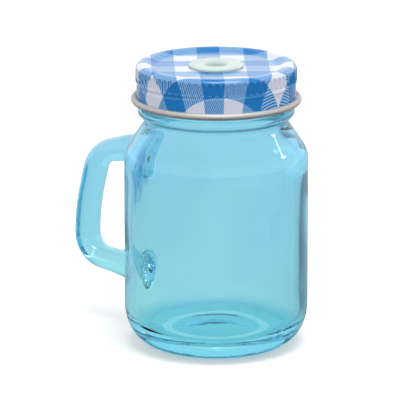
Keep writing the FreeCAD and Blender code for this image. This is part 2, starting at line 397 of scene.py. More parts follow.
lacquered_glass = glass("lacquered_glass", TINT_LOW, TINT_HIGH, TINT_SHADE, ripple_mm=0.02, wave_top_mm=5.0)
inner_glass = glass("inner_glass", CLEAR_LOW, CLEAR_HIGH, CLEAR_SHADE, ripple_mm=0.06, wave_top_mm=13.0)
print("glass: lacquered outside, clear inside")

# %% [markdown]
# ## The jar's profile
#
# One line draws the whole section of the bowl: from the centre of the push-up underneath, over the
# standing ring and up the outside to the rim, then down the inside to the centre of the floor. Turned
# round the axis, it is a closed skin with real wall thickness, which is what bends light in glass. The
# outside touched the mould and keeps its bends; the inside touched only air, so its line is softened
# by a running average over a few millimetres.

# %% Draw the jar's section
FINE = 6
WALL = 2.45
FOOT_R = 16.6
FOOT_INNER_R = 13.6
PUSH_UP = 1.8
HEEL_Z = 13.6
HEEL_POWER = 2.2
INNER_FLOOR_R = 20.5
INNER_HEEL_Z = 12.5
WALL_TOP_Z = 58.4
SHOULDER_R = 7.8
SLOPE_DEG = 34.0
NECK_R = 21.95
BEAD_R = 1.6
BEAD_CREST_R = 24.0
BEAD_Z = 73.5
FINISH_R = 22.6
MOUTH_R = 19.6
FLOOR_Z = 6.0
EASE_MM = 8.0
NECK_BEND_R = 3.0
INNER_SHOULDER_R = 10.0
INNER_NECK_BEND_R = 4.0
OUTER_RIM_R = 0.8
INNER_RIM_R = 1.0
FLOOR_RISE = 0.6


def fine(*counts):
    """Sample counts of the finely drawn profile, from the row counts of the mesh."""
    return tuple(FINE * count for count in counts)


def outer_section():
    """The outside, from the push-up's centre to the rim's top."""
    crown_r = (FOOT_INNER_R ** 2 + PUSH_UP ** 2) / (2.0 * PUSH_UP)
    crown_deg = math.degrees(math.asin(FOOT_INNER_R / crown_r))
    crown = arc((0.0, PUSH_UP - crown_r), crown_r, 90.0, 90.0 - crown_deg, FINE * 9)
    foot = run(crown[-1], (FOOT_R, 0.0), FINE * 5)
    curve = heel(foot[-1], (BODY_R, HEEL_Z), HEEL_POWER, FINE * 26)
    wall = run(curve[-1], (BODY_R, WALL_TOP_Z), FINE * 58)
    slope = shoulder(wall[-1], NECK_R, SHOULDER_R, NECK_BEND_R, SLOPE_DEG, fine(6, 10, 4))
    bead_centre = (BEAD_CREST_R - BEAD_R, BEAD_Z)
    low_deg = -math.degrees(math.acos((NECK_R - bead_centre[0]) / BEAD_R))
    high_deg = math.degrees(math.acos((FINISH_R - bead_centre[0]) / BEAD_R))
    bead = arc(bead_centre, BEAD_R, low_deg, high_deg, FINE * 14)
    neck = run(slope[-1], bead[0], FINE * 1)
    finish = run(bead[-1], (FINISH_R, RIM_Z - OUTER_RIM_R), FINE * 34)
    round_off = arc((FINISH_R - OUTER_RIM_R, RIM_Z - OUTER_RIM_R), OUTER_RIM_R, 0.0, 90.0, FINE * 5)
    return join(crown, foot, curve, wall, slope, neck, bead, finish, round_off)


def inner_section():
    """The inside, from the rim's top down to the centre of the floor."""
    centre = run((0.0, FLOOR_Z + FLOOR_RISE), (INNER_FLOOR_R, FLOOR_Z), FINE * 12)
    floor = join(centre, heel(centre[-1], (BODY_R - WALL, INNER_HEEL_Z), 2.0, FINE * 20))
    wall = run(floor[-1], (BODY_R - WALL, WALL_TOP_Z - 3.0), FINE * 36)
    slope = shoulder(wall[-1], MOUTH_R, INNER_SHOULDER_R, INNER_NECK_BEND_R, SLOPE_DEG, fine(8, 6, 6))
    neck = run(slope[-1], (MOUTH_R, RIM_Z - INNER_RIM_R), FINE * 12)
    upper = eased(join(wall, slope, neck), FINE * 66, EASE_MM)
    round_off = arc((MOUTH_R + INNER_RIM_R, RIM_Z - INNER_RIM_R), INNER_RIM_R, 180.0, 90.0, FINE * 5)
    foot_gap = run(floor[-1], upper[0], FINE * 3)
    return join(floor, foot_gap, upper, run(upper[-1], round_off[0], FINE * 3), round_off)[::-1]


outside = outer_section()
inside = inner_section()
rim = run(outside[-1], inside[0], FINE * 2)
section = join(outside, rim, inside)
section_s = lengths(section)
OUTER_ROWS = (len(outside) - 1) // FINE
print(f"section: {section_s[-1]:.0f} mm, {(len(section) - 1) // FINE} rows, {OUTER_ROWS} of them outside")

# %% [markdown]
# ## The screw thread
#
# A thread is a ridge whose height depends on how far a point is from the helix. The helix climbs one
# pitch in one turn, so at each angle its height is known. Each turn is worked out in its own lap, and
# the highest ridge is kept. The ridge fades in and out at its two ends. Both the glass thread and the
# lid's rolled thread use this.

# %% Thread formula
LID_THREAD_Z = 83.47
GLASS_THREAD_Z = LID_THREAD_Z + 1.6


def thread_height(theta, z, zero_z, start_deg, turn_deg, half_width, taper_deg):
    """Ridge height, 0 to 1: (1 - (distance / half_width)^2)^1.5 along the helix, faded at both ends."""
    start = zero_z + PITCH * start_deg / 360.0
    first = (np.degrees(theta) - start_deg) % 360.0
    best = np.zeros(np.broadcast(theta, z).shape)
    for lap in range(int(turn_deg // 360.0) + 1):
        along = first + 360.0 * lap
        distance = (z - start - PITCH * along / 360.0) / half_width
        ridge = np.clip(1.0 - distance ** 2, 0.0, 1.0) ** 1.5
        fade = smooth(along / taper_deg) * smooth((turn_deg - along) / taper_deg)
        best = np.maximum(best, ridge * fade)
    return best


print(f"thread: right-handed, {PITCH:.2f} mm to the turn")

# %% [markdown]
# ## The bowl's skin
#
# The section is turned through 256 columns. The inside of a blown jar is never quite true, so its radius
# wanders by a tenth or two of a millimetre in long waves: that is what makes the view through it swim.
# Where the hot handle was pressed on, the wall bulges inwards a little. The mould's two halves leave a
# faint upright seam in line with the handle, and opposite it.

# %% Turn the jar
COLUMNS = 256
# Where, as an angle and a height; how wide and how high the bump is; how deep.
SUNK_ROOTS = ((192.0, 56.0, 7.0, 8.0, 0.9), (205.0, 51.0, 3.2, 9.0, 1.1), (182.0, 18.8, 6.0, 6.5, 0.5))
GLASS_THREAD_MM = 1.15
SEAM_MM = 0.05
SEAM_WIDTH_MM = 0.6
FOOT_CLEAR_Z = 2.0
jar_theta = TAU * np.arange(COLUMNS)[None, :] / COLUMNS
rows = section[::FINE][1:-1]
row_s = section_s[::FINE][1:-1]
row_number = np.arange(1, len(rows) + 1)
is_inside = (row_number > OUTER_ROWS + 1)[:, None]
jar_r = rows[:, :1] + 0.0 * jar_theta
jar_z = rows[:, 1:] + 0.0 * jar_theta


def wall_ripple(theta, z):
    """Long waves of the blown inner wall, in millimetres, fading out at the floor and the neck."""
    waves = (0.14 * np.sin(2.0 * theta + 0.055 * z + 0.4) + 0.09 * np.sin(3.0 * theta - 0.09 * z + 2.1)
             + 0.04 * np.sin(5.0 * theta + 0.16 * z + 4.0) + 0.05 * np.sin(0.21 * z + theta))
    return waves * smooth((z - 12.0) / 8.0) * smooth((66.0 - z) / 8.0)


def sunk_root(theta, z, at_deg, at_z, width_mm, height_mm, depth_mm):
    """A soft bump in the wall: depth times a bell curve of the distance across and along it."""
    across = (theta - math.radians(at_deg)) * BODY_R / width_mm
    along = (z - at_z) / height_mm
    return depth_mm * np.exp(-across ** 2 - along ** 2)


def seam(theta, width_mm, radius):
    """A fine ridge at the two mould joints, on the X axis: a bell curve of the distance from it."""
    across = radius * np.sin(theta)
    return np.exp(-(across / width_mm) ** 2)


inner_bumps = wall_ripple(jar_theta, jar_z)
for spot in SUNK_ROOTS:
    inner_bumps = inner_bumps + sunk_root(jar_theta, jar_z, *spot)
jar_r = jar_r - np.where(is_inside, inner_bumps, 0.0)
finish_zone = ~is_inside & (jar_z > BEAD_Z + 1.0) & (jar_z < RIM_Z - 0.2)
glass_thread = thread_height(jar_theta, jar_z, GLASS_THREAD_Z, start_deg=-393.0, turn_deg=350.0,
                             half_width=1.25, taper_deg=24.0)
jar_r = jar_r + np.where(finish_zone, GLASS_THREAD_MM * glass_thread, 0.0)
seam_zone = ~is_inside & (jar_z > FOOT_CLEAR_Z) & (jar_z < BEAD_Z + 2.0)
jar_r = jar_r + np.where(seam_zone, SEAM_MM * seam(jar_theta, SEAM_WIDTH_MM, jar_r) - SEAM_MM, 0.0)
jar_points = turned_points(jar_r, jar_z, jar_theta).reshape(-1, 3)
print(f"bowl: {len(rows)} rows of {COLUMNS}")

# %% [markdown]
# ## The ear handle
#
# The handle is a rod of glass bent hot and pressed onto the bowl. It could be a curve with a bevel, but
# its roots have to flow into the wall, so it is made of rings that the bowl's own mesh can join. First
# comes the line that it follows: straight stretches with round corners, eased by a running average.

# %% The handle's line
EAR_HALF_DEPTH = 3.5
EAR_HALF_WIDTH = 4.6
EAR_ROUTE = np.array([(10.0, 62.2), (45.6, 53.7), (50.0, 36.5), (51.0, 20.2), (10.0, 16.83)])
EAR_CORNER_R = (9.0, 60.0, 7.5)
SOFTEN_MM = 3.0


def rounded_route(points, radii):
    """Straight runs joined by tangent arcs, as closely spaced points."""
    stretches = []
    start = points[0]
    for before, corner, after, radius in zip(points, points[1:], points[2:], radii):
        way_in = (corner - before) / np.linalg.norm(corner - before)
        way_out = (after - corner) / np.linalg.norm(after - corner)
        turn = math.acos(float(way_in @ way_out))
        reach = radius * math.tan(turn / 2.0)
        inward = (way_out - way_in) / np.linalg.norm(way_out - way_in)
        centre = corner + inward * radius / math.cos(turn / 2.0)
        angle = np.linspace(-turn / 2.0, turn / 2.0, 200)[:, None]
        side = (way_in + way_out) / np.linalg.norm(way_in + way_out)
        stretches += [run(start, corner - way_in * reach, 400),
                      centre - inward * radius * np.cos(angle) + side * radius * np.sin(angle)]
        start = corner + way_out * reach
    return np.concatenate(stretches + [run(start, points[-1], 400)])


route = softened(even(rounded_route(EAR_ROUTE, EAR_CORNER_R), FINE_STEP), int(SOFTEN_MM / FINE_STEP))
route = route[route[:, 0] > BODY_R]
route = even(route, FINE_STEP)
print(f"handle line: {lengths(route)[-1]:.1f} mm outside the wall, out to {route[:, 0].max():.1f} mm")

# %% [markdown]
# ## Rings for the handle and its roots
#
# A window is left out of the bowl's grid at each root and filled with rings that start from the window's
# own points. First they turn from the window's rectangle into an oval on the wall, then they rise through
# a fillet into the handle, which is an oval section carried along its line. The section swells towards
# both roots, where the hot glass spread.

# %% Rings of the handle
UP = {"row_z": route[0, 1], "flip": 1, "high": 7.0, "wide": 5.5}
DOWN = {"row_z": route[-1, 1], "flip": -1, "high": 7.4, "wide": 6.6}
HALF_ROWS = 14
HALF_COLUMNS = 13
RING = 4 * (HALF_ROWS + HALF_COLUMNS)
ring_angle = TAU * np.arange(RING) / RING
STAND_OFF = 5.5
# How much the handle swells towards each root, and over how many millimetres.
TOP_SWELL = (0.95, 10.0)
FOOT_SWELL = (1.3, 8.0)
ROOT_RINGS = 5
FILLET_RINGS = 12
FILLET_REACH = 1.1
EAR_RINGS = 88


def window_offsets():
    """Row and column offsets round the window's edge, from the middle of its top, towards +Y first."""
    h, w = HALF_ROWS, HALF_COLUMNS
    top = [(h, -c) for c in range(0, w)]
    side = [(r, -w) for r in range(h, -h, -1)]
    bottom = [(-h, c) for c in range(-w, w)]
    far_side = [(r, w) for r in range(-h, h)]
    rest = [(h, c) for c in range(w, 0, -1)]
    return np.array(top + side + bottom + far_side + rest)


def on_wall(across, along):
    """Points of the outer skin: across is arc length from the handle's plane, along is section length."""
    r = np.interp(along, section_s, section[:, 0])
    z = np.interp(along, section_s, section[:, 1])
    theta = math.pi - across / BODY_R
    return np.stack([r * np.cos(theta), r * np.sin(theta), z], axis=-1)


def root_rings(root):
    """The window's row and vertex numbers, rings on the wall from its edge to an oval, and ways inwards."""
    outer_z = rows[:OUTER_ROWS, 1]
    heel_row = np.flatnonzero(outer_z > FOOT_CLEAR_Z)[0]
    row = heel_row + int(np.argmin(np.abs(outer_z[heel_row:] - root["row_z"])))
    offsets = window_offsets() * np.array([root["flip"], 1])
    numbers = (row + offsets[:, 0]) * COLUMNS + COLUMNS // 2 + offsets[:, 1]
    edge = np.stack([-offsets[:, 1] * TAU * BODY_R / COLUMNS, row_s[row + offsets[:, 0]]], axis=-1)
    centre_s = np.interp(root["row_z"], outer_z[heel_row:], row_s[heel_row:OUTER_ROWS])
    oval = np.stack([root["wide"] * np.sin(ring_angle),
                     centre_s + root["flip"] * root["high"] * np.cos(ring_angle)], axis=-1)
    share = np.linspace(0.0, 1.0, ROOT_RINGS + 1)[1:, None, None]
    flat = edge * (1.0 - share) + oval * share
    rings = on_wall(flat[..., 0], flat[..., 1])
    nearer = oval + 0.03 * (np.array([0.0, centre_s]) - oval)
    inward = on_wall(nearer[:, 0], nearer[:, 1]) - rings[-1]
    return row, numbers, rings, inward / np.linalg.norm(inward, axis=-1, keepdims=True)


def fillet(wall_ring, inward, ear_ring, outward, steps):
    """Rings on cubic Hermite curves that leave along the wall and arrive along the handle."""
    t = np.linspace(0.0, 1.0, steps + 1)[1:-1, None, None]
    reach = FILLET_REACH * np.linalg.norm(ear_ring - wall_ring, axis=-1, keepdims=True)
    return ((2 * t ** 3 - 3 * t ** 2 + 1) * wall_ring + (t ** 3 - 2 * t ** 2 + t) * inward * reach
            + (3 * t ** 2 - 2 * t ** 3) * ear_ring + (t ** 3 - t ** 2) * outward * reach)


def ear_rings():
    """Oval rings along the handle's line: centre + depth cos(a) outwards + width sin(a) along Y."""
    along = lengths(route)
    total = along[-1]
    d = np.linspace(STAND_OFF, total - STAND_OFF, EAR_RINGS)
    centre = at_lengths(route, along, d)
    ahead = at_lengths(route, along, d + 0.2)
    way = (ahead - centre) / np.linalg.norm(ahead - centre, axis=-1, keepdims=True)
    depth = (EAR_HALF_DEPTH + TOP_SWELL[0] * np.exp(-(d / TOP_SWELL[1]) ** 2)
             + FOOT_SWELL[0] * np.exp(-((total - d) / FOOT_SWELL[1]) ** 2))
    cos, sin = np.cos(ring_angle), np.sin(ring_angle)
    across = depth[:, None] * cos
    outward = np.stack([-way[:, 1], way[:, 0]], axis=-1)
    x = -(centre[:, :1] + across * outward[:, :1])
    z = centre[:, 1:] + across * outward[:, 1:]
    y = EAR_HALF_WIDTH * sin + 0.0 * across
    ways = np.stack([-way[:, 0], 0.0 * d, way[:, 1]], axis=-1)
    return np.stack([x, y, z], axis=-1), ways


up_row, up_numbers, up_rings, up_inward = root_rings(UP)
down_row, down_numbers, down_rings, down_inward = root_rings(DOWN)
ear, ear_ways = ear_rings()
up_fillet = fillet(up_rings[-1], up_inward, ear[0], ear_ways[0], FILLET_RINGS)
down_fillet = fillet(down_rings[-1], down_inward, ear[-1], -ear_ways[-1], FILLET_RINGS)[::-1]
handle_rings = np.concatenate([up_rings, up_fillet, ear, down_fillet, down_rings[::-1]])
print(f"handle: {len(handle_rings)} rings of {RING}")

# %% [markdown]
# ## One glass mesh
#
# The real bowl and handle are one piece of glass, and light must find no skin between them. So their
# points go into one mesh: the bowl's grid without its windows, the handle's rings between the windows,
# and one point at each pole. The same step works out where painted shade deepens the blue.

# %% Join the bowl and the handle
CORNER_SHADE_R = 21.3
# How deep the painted shade is in the floor's corner and at its centre, and over how many millimetres.
CORNER_SHADE = (0.42, 1.5)
CENTRE_SHADE = (0.3, 7.0)
# Painted shade beside the handle's roots. Where, as an angle and a height; how wide and how high each patch
# is; how deep the shade.
SHADE_PATCHES = ((197.0, 54.0, 3.0, 9.0, 1.1), (208.0, 50.0, 2.8, 9.0, 1.0), (186.0, 52.0, 2.0, 5.0, 0.8),
         (179.0, 19.6, 3.0, 5.5, 0.8))


def jar_faces():
    """Corner lists of the joined mesh, and 0 for each outer face or 1 for each inner one."""
    quads = grid_quads(len(rows), COLUMNS)
    kept = np.ones(quads.shape[:2], bool)
    middle = COLUMNS // 2
    for row in (up_row, down_row):
        kept[row - HALF_ROWS:row + HALF_ROWS, middle - HALF_COLUMNS:middle + HALF_COLUMNS] = False
    inner_quads = (np.arange(len(rows) - 1) >= OUTER_ROWS)[:, None] & kept
    bowl = quads[kept]
    first = len(jar_points)
    numbers = first + np.arange(handle_rings.shape[0] * RING).reshape(-1, RING)
    numbers = np.concatenate([up_numbers[None], numbers, down_numbers[None]])
    after = np.roll(numbers, -1, axis=1)
    ear_quads = np.stack([numbers[:-1], after[:-1], after[1:], numbers[1:]], axis=-1).reshape(-1, 4)
    pole = first + handle_rings.shape[0] * RING
    around = np.arange(COLUMNS)
    last_row = (len(rows) - 1) * COLUMNS
    beside = np.roll(around, -1)
    low_cap = np.stack([around, beside, np.full(COLUMNS, pole)], axis=-1)
    high_cap = np.stack([last_row + around, last_row + beside, np.full(COLUMNS, pole + 1)], axis=-1)
    faces = bowl.tolist() + ear_quads.tolist() + low_cap.tolist() + high_cap.tolist()
    material = np.concatenate([inner_quads[kept], np.zeros(len(ear_quads) + COLUMNS), np.ones(COLUMNS)])
    return faces, material.astype(np.int32)


def painted_shade_at(points):
    """Depth of painted shade at each point: bell curves of the distance from each patch, across and along.
    """
    theta = np.degrees(np.arctan2(points[:, 1], points[:, 0])) % 360.0
    depth = np.zeros(len(points))
    for at_deg, at_z, width_mm, height_mm, share in SHADE_PATCHES:
        across = np.radians(theta - at_deg) * BODY_R / width_mm
        along = (points[:, 2] - at_z) / height_mm
        depth += share * np.exp(-across ** 2 - along ** 2)
    radius = np.hypot(points[:, 0], points[:, 1])
    corner = CORNER_SHADE[0] * np.exp(-((radius - CORNER_SHADE_R) / CORNER_SHADE[1]) ** 2)
    floor = corner + CENTRE_SHADE[0] * np.exp(-(radius / CENTRE_SHADE[1]) ** 2)
    on_floor = (points[:, 2] > FLOOR_Z - 1.0) & (points[:, 2] < FLOOR_Z + 3.0) & (radius < BODY_R - WALL)
    depth = np.where(on_floor, depth + floor, depth)
    return np.where(radius < BODY_R + 1.0, np.minimum(depth, 1.0), 0.0)


poles = np.array([(0.0, 0.0, PUSH_UP), (0.0, 0.0, FLOOR_Z + FLOOR_RISE)])
all_points = np.concatenate([jar_points, handle_rings.reshape(-1, 3), poles])
faces, face_material = jar_faces()
glass_jar = make_piece("glass_jar", all_points, faces, [lacquered_glass, inner_glass], face_material)
# Painted shade: the depth at each point is kept for the glass finish.
shade_layer = glass_jar.data.attributes.new("painted_shade", "FLOAT", "POINT")
shade_layer.data.foreach_set("value", painted_shade_at(all_points))
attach(glass_jar, "jar")
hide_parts("jar_body", "ear_handle")

# %% [markdown]
# ## The lid's print
#
# Drawing pulls the sheet down over the punch: a point low on the skirt comes from further out on the
# flat sheet, at the same angle. With area kept, the flat radius is the root of R^2 + 2 R depth, a
# little less because the sheet stretches. The flat position is kept on every point of the mesh, and
# the finish draws a plain check on it. The stretched diamonds on the skirt then come by themselves.

# %% Lid finishes
CHECK = 7.18
PRINT_TURN = math.radians(39.0)
COLUMN_EDGE = -5.44
ROW_EDGE = 0.56
HATCH_PITCH = 0.85
EDGE_SHARPNESS = 14.0
HATCH_SHARPNESS = 1.6
HATCH_SHARE = 0.66
PRINT_BLUE = (0.009, 0.170, 0.465, 1.0)
PRINT_PALE = (0.28, 0.47, 0.68, 1.0)
PRINT_WHITE = (0.60, 0.63, 0.72, 1.0)


def band(place, edge):
    """Bands of 1 and 0, each a check wide: a sine of the distance from an edge, steepened and cut off."""
    return (((place - edge) * (math.pi / CHECK)).math("SINE") * EDGE_SHARPNESS + 0.5).clamp()


def printed_tin():
    """Blue and white check with hatched half-tones, under a gloss varnish."""
    finish = Finish("printed_tin", Roughness=0.5, Specular_IOR_Level=0.0, Coat_Weight=1.0,
                    Coat_Roughness=0.06, Coat_IOR=1.5)
    flat = finish.node("ShaderNodeAttribute", {"attribute_name": "flat_sheet"}, {}, output=1)
    x = finish.part(flat, 0)
    y = finish.part(flat, 1)
    across = x * math.cos(PRINT_TURN) + y * math.sin(PRINT_TURN)
    back = y * math.cos(PRINT_TURN) - x * math.sin(PRINT_TURN)
    column = band(across, COLUMN_EDGE)
    row = band(back, ROW_EDGE)
    lines = ((across - back) * (TAU / HATCH_PITCH)).math("SINE")
    hatch = (lines * HATCH_SHARPNESS + HATCH_SHARE).clamp()
    both = column * row
    either = column + row - both * 2.0
    half_tone = finish.mix(hatch, PRINT_PALE, PRINT_BLUE)
    colour = finish.mix(either, PRINT_WHITE, half_tone)
    finish.feed("Base Color", finish.mix(both, colour, PRINT_BLUE))
    orange_peel = finish.noise(900.0, 2.0)
    finish.bump(orange_peel, 0.006)
    return finish.material


def bare_tin():
    """Satin tinplate with fine rolling marks."""
    finish = Finish("bare_tin", Metallic=1.0)
    grain = finish.noise(1500.0, 3.0, (1.0, 1.0, 0.15))
    finish.feed("Base Color", finish.mix(grain, (0.50, 0.49, 0.47, 1.0), (0.62, 0.61, 0.59, 1.0)))
    finish.feed("Roughness", grain * 0.2 + 0.52)
    return finish.material


def white_lacquer():
    """White food-safe lacquer, with a faint glow for the light that comes in through the glass."""
    finish = Finish("white_lacquer", Roughness=0.3, Emission_Strength=0.3)
    speck = finish.noise(500.0, 2.0)
    white = finish.mix(speck, (0.72, 0.71, 0.67, 1.0), (0.80, 0.79, 0.76, 1.0))
    finish.feed("Base Color", white)
    finish.feed("Emission Color", white)
    return finish.material


lid_print = printed_tin()
curl_tin = bare_tin()
lid_lacquer = white_lacquer()
print("lid: printed outside, white inside, bare at the curl")

# %% [markdown]
# ## The lid
#
# The lid is a deep-drawn cap. Its outer skin runs up the skirt, over a small top corner and a raised
# ring, and down a slope to a sunk panel with the hole for the straw. The inner skin runs back one sheet
# thickness inside. Two things are pressed into the skirt: a row of short arched flutes for grip, and the
# rolled thread, a groove outside that stands out as a rib inside. Both are only depths taken off the
# radius, so they are functions of angle and height.

# %% Press the lid
SHEET = 0.3
FLUTES = 72
LID_COLUMNS = 10 * FLUTES
FLUTE_LOW_Z = 82.9
FLUTE_HIGH_Z = 87.1
FLUTE_DEPTH = 0.42
FLUTE_HALF_WIDTH = 0.36
FLUTE_ARCH_MM = 0.9
FLUTE_EDGE = 0.16
GROOVE_DEPTH = 0.3
SKIRT_LOW_Z = CURL_Z + 0.3
PANEL_Z = LID_TOP_Z - 1.2
PANEL_R = 18.4
CREST_R = 22.0
HOLE_R = 7.0
CORNER_R = 2.0
NECKED_IN = 0.3
NECKING_MM = 2.0
DRAWN_R = SKIRT_R - 0.15
DRAWN_TOP_Z = LID_TOP_Z - 0.2
DRAW_STRETCH = 0.77


def lid_section(inset, steps):
    """The lid's skin, inset by a distance: skirt, corner arc, crest, S-shaped slope and flat panel."""
    skirt_r = SKIRT_R - inset
    corner = CORNER_R - inset
    skirt = run((skirt_r, SKIRT_LOW_Z), (skirt_r, LID_TOP_Z - CORNER_R), steps[0])
    bend = arc((skirt_r - corner, LID_TOP_Z - inset - corner), corner, 0.0, 90.0, steps[1])
    crest = run(bend[-1], (CREST_R, LID_TOP_Z - inset), steps[2])
    t = np.linspace(0.0, 1.0, steps[3] + 1)[:, None]
    fall = np.concatenate([CREST_R + t * (PANEL_R - CREST_R),
                           LID_TOP_Z - inset - smooth(t) * (LID_TOP_Z - PANEL_Z)], axis=-1)
    panel = run(fall[-1], (HOLE_R, PANEL_Z - inset), steps[4])
    return join(skirt, bend, crest, fall, panel)


def flute_depth(theta, z):
    """0 to 1 over each flute: full inside an arch that closes to nothing at the top, soft at its edge."""
    phase = np.abs((FLUTES * theta / TAU) % 1.0 - 0.5)
    half_width = FLUTE_HALF_WIDTH * np.sqrt(np.clip((FLUTE_HIGH_Z - z) / FLUTE_ARCH_MM, 0.0, 1.0))
    side = smooth((half_width - phase) / FLUTE_EDGE + 0.5)
    return side * smooth((z - FLUTE_LOW_Z) / 0.5) * smooth((FLUTE_HIGH_Z - z) / 0.25)


def pressed(theta, z):
    """How far the skirt is pushed in, in millimetres: the flutes, or the slim band and thread below them."""
    thread = thread_height(theta, z, LID_THREAD_Z, start_deg=-289.0, turn_deg=306.0,
                           half_width=0.95, taper_deg=20.0)
    slim = NECKED_IN * smooth((FLUTE_LOW_Z + 0.4 - z) / NECKING_MM)
    return np.maximum(FLUTE_DEPTH * flute_depth(theta, z), slim + GROOVE_DEPTH * thread)


def flat_radius(r, z):
    """Flat-sheet radius: r on top, the drawing formula on the skirt and a blend on the corner."""
    depth = np.clip(DRAWN_TOP_Z - z, 0.0, None)
    skirt = np.sqrt(DRAWN_R ** 2 + 2.0 * DRAWN_R * DRAW_STRETCH * depth)
    corner_z = LID_TOP_Z - CORNER_R
    corner_r = SKIRT_R - CORNER_R
    skirt_start = math.sqrt(DRAWN_R ** 2 + 2.0 * DRAWN_R * DRAW_STRETCH * (DRAWN_TOP_Z - corner_z))
    share = 1.0 - np.degrees(np.arctan2(z - corner_z, r - corner_r)) / 90.0
    corner = corner_r + share * (skirt_start - corner_r)
    return np.where(z <= corner_z, skirt, np.where(r > corner_r, corner, r))


lid_theta = TAU * np.arange(LID_COLUMNS)[None, :] / LID_COLUMNS
outer_skin = lid_section(0.0, (44, 10, 2, 9, 6))
inner_skin = lid_section(SHEET, (30, 4, 1, 5, 3))[::-1]
lid_rows = np.concatenate([outer_skin, inner_skin])
lid_r = lid_rows[:, :1] + 0.0 * lid_theta
lid_z = lid_rows[:, 1:] + 0.0 * lid_theta
on_skirt = lid_r > SKIRT_R - SHEET - CORNER_R
fade = smooth((LID_TOP_Z - 0.6 - lid_z) / 1.0)
lid_r = lid_r - np.where(on_skirt, fade * pressed(lid_theta, lid_z), 0.0)
flat_sheet = turned_points(flat_radius(lid_rows[:, :1], lid_rows[:, 1:]), 0.0, lid_theta).reshape(-1, 3)
lid_points = turned_points(lid_r, lid_z, lid_theta).reshape(-1, 3)
lid_quads = grid_quads(len(lid_rows), LID_COLUMNS, close_rows=True)
printed_rows = np.arange(len(lid_rows)) < len(outer_skin) - 1
lid_material = np.repeat(np.where(printed_rows, 0, 1), LID_COLUMNS).astype(np.int32)
pressed_lid = make_piece("pressed_lid", lid_points, lid_quads.reshape(-1, 4).tolist(),
                         [lid_print, lid_lacquer], lid_material, {"flat_sheet": flat_sheet})
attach(pressed_lid, "lid")
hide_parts("lid_shell")

# %% [markdown]
# ## Rings turned on the axis
#
# The curled edge and the grommet are plain rings: a closed outline turned once round.

# %% Ring maker
def turned_ring(name, outline, columns, material):
    """A closed outline turned round the axis; both directions of the grid wrap."""
    theta = TAU * np.arange(columns)[None, :] / columns
    points = turned_points(outline[:, :1], outline[:, 1:], theta).reshape(-1, 3)
    quads = grid_quads(len(outline), columns, close_rows=True).reshape(-1, 4)
    return make_piece(name, points, quads.tolist(), [material])


# %% [markdown]
# ## The curled edge
#
# A cut tinplate edge is sharp, so it is rolled outwards into a small tube. The roll is very slightly
# flattened where the tool pressed it from below.

# %% Curl
CURL_POINTS = 28
CURL_FLATTENED = 0.94
curl_angle = TAU * np.arange(CURL_POINTS) / CURL_POINTS
curl_rise = CURL_R * np.sin(curl_angle) * np.where(curl_angle > math.pi, CURL_FLATTENED, 1.0)
curl_outline = np.stack([CURL_PATH_R + CURL_R * np.cos(curl_angle), CURL_Z + curl_rise], axis=-1)
rolled_edge = turned_ring("rolled_edge", curl_outline, 288, curl_tin)
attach(rolled_edge, "lid")
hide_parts("lid_curl")

# %% [markdown]
# ## The grommet
#
# The grommet is moulded silicone, pushed through the panel from below until its groove grips the edge of
# the hole. Silicone is milky: light goes in, scatters and comes out again, so it is a rough, weakly
# tinted glass mixed with a pale solid. It is also given a faint cyan glow, painted light for the blue
# light that comes up through the jar. The flange on top is a soft dome that dips into the hole.

# %% Grommet
def silicone_painted_glow():
    """Pale, slightly green silicone that lets a soft light through, with a faint painted cyan glow."""
    finish = Finish("silicone_painted_glow", Roughness=0.38, IOR=1.41, Transmission_Weight=0.6,
                    Emission_Strength=0.06)
    cloud = finish.noise(160.0, 3.0)
    finish.feed("Base Color", finish.mix(cloud, (0.76, 0.84, 0.79, 1.0), (0.86, 0.90, 0.84, 1.0)))
    # The emission is painted light: a faint cyan glow standing in for the blue light that comes up through
    # the jar.
    finish.feed("Emission Color", finish.mix(cloud, (0.74, 0.92, 0.95, 1.0), (0.86, 0.97, 0.96, 1.0)))
    finish.bump(finish.noise(700.0, 2.0), 0.01)
    return finish.material


FLANGE_R = grommet_high[0]
GROMMET_TOP_Z = grommet_high[2]
GROMMET_LOW_Z = grommet_low[2]
LIP_R = 7.9
LIP_ROUND_R = 0.4
NOSE_R = 5.2
FLANGE_ROUND_R = 1.2
THROAT_R = 5.5
THROAT_DEPTH = 1.1
PANEL_UNDER_Z = PANEL_Z - SHEET


def grommet_outline():
    """Lower nose, lip, groove round the panel, domed flange, and a throat that narrows to the hole."""
    nose = run((STRAW_HOLE_R, GROMMET_LOW_Z), (NOSE_R, GROMMET_LOW_Z), 4)
    side = run(nose[-1], (LIP_R, PANEL_UNDER_Z - 0.9), 6)
    lip = arc((LIP_R - LIP_ROUND_R, PANEL_UNDER_Z - 0.5), LIP_ROUND_R, 0.0, 90.0, 4)
    under = run((LIP_R - LIP_ROUND_R, PANEL_UNDER_Z - 0.05), (HOLE_R, PANEL_UNDER_Z - 0.05), 2)
    over = run((HOLE_R, PANEL_Z + 0.02), (FLANGE_R - 0.3, PANEL_Z + 0.02), 3)
    t = np.radians(np.linspace(-60.0, 90.0, 16))
    half = (GROMMET_TOP_Z - PANEL_Z) / 2.0
    edge = np.stack([FLANGE_R - FLANGE_ROUND_R + FLANGE_ROUND_R * np.cos(t),
                     PANEL_Z + half + half * np.sin(t)], axis=-1)
    dome = run((FLANGE_R - 1.4, GROMMET_TOP_Z), (THROAT_R + 0.1, GROMMET_TOP_Z), 6)
    t = np.linspace(0.0, 1.0, 15)[1:, None]
    throat_r = THROAT_R + (STRAW_HOLE_R - THROAT_R) * np.sin(0.5 * math.pi * t)
    throat_z = GROMMET_TOP_Z - THROAT_DEPTH * (1.0 - np.cos(0.5 * math.pi * t)) ** 1.2
    throat = np.concatenate([throat_r, throat_z], axis=-1)
    hole = run(throat[-1] - (0.0, 0.2), (STRAW_HOLE_R, GROMMET_LOW_Z + 0.2), 6)
    return np.concatenate([nose, side[1:], lip, under, over, edge, dome, throat, hole])


